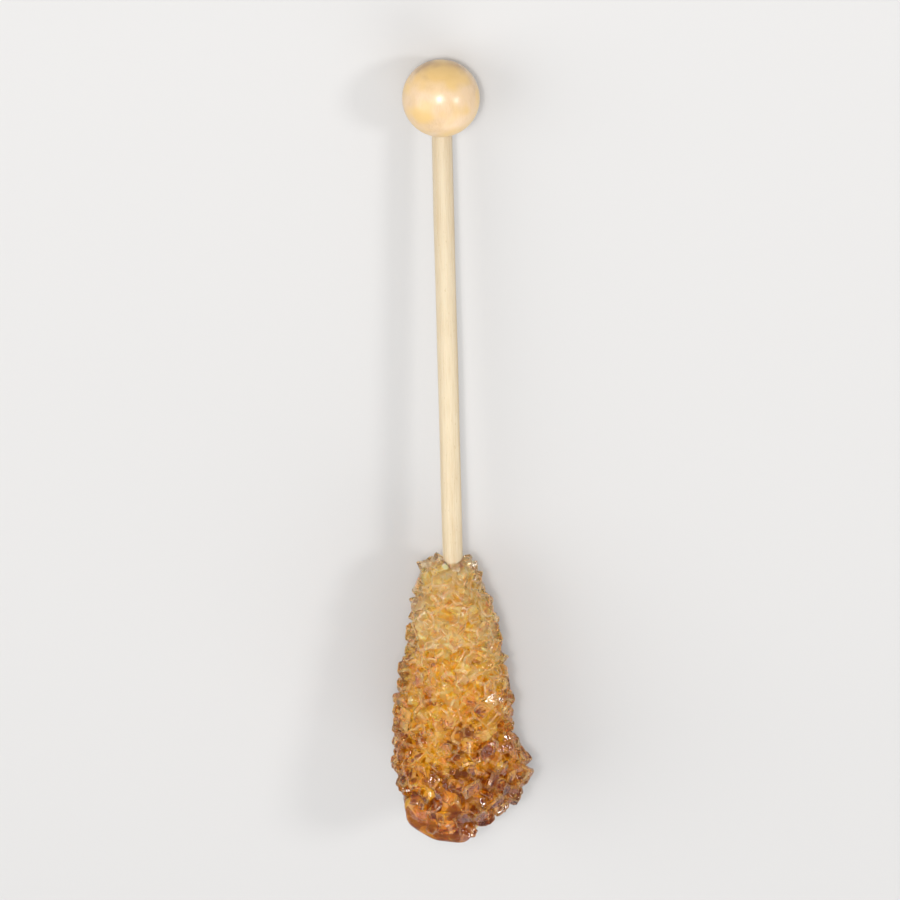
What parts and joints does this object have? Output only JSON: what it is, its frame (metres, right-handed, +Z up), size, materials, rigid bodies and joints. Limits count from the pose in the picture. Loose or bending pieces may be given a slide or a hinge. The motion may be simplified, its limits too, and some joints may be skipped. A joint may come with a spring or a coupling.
{
  "type": "rock candy stick",
  "caption": "Amber rock candy grown on the end of a round wooden stick, with a turned wooden ball as its grip, lying on its side.",
  "frame": {"origin": "bottom centre of the bounding box, on the surface that the stick lies on", "axes": "+Y along the stick from the candy to the ball, +Z up from the surface, +X across the stick"},
  "size_m": [0.0286, 0.1644, 0.0282],
  "materials": {
    "ball_wood": "clear-lacquered pale wood, satin gloss",
    "stick_wood": "bare sanded birch",
    "amber_sugar": "translucent amber sugar crystal with glossy facets"
  },
  "bodies": {
    "root": {"wooden_ball": "ball_wood", "wooden_stick": "stick_wood", "rock_candy": "amber_sugar"}
  },
  "joints": []
}
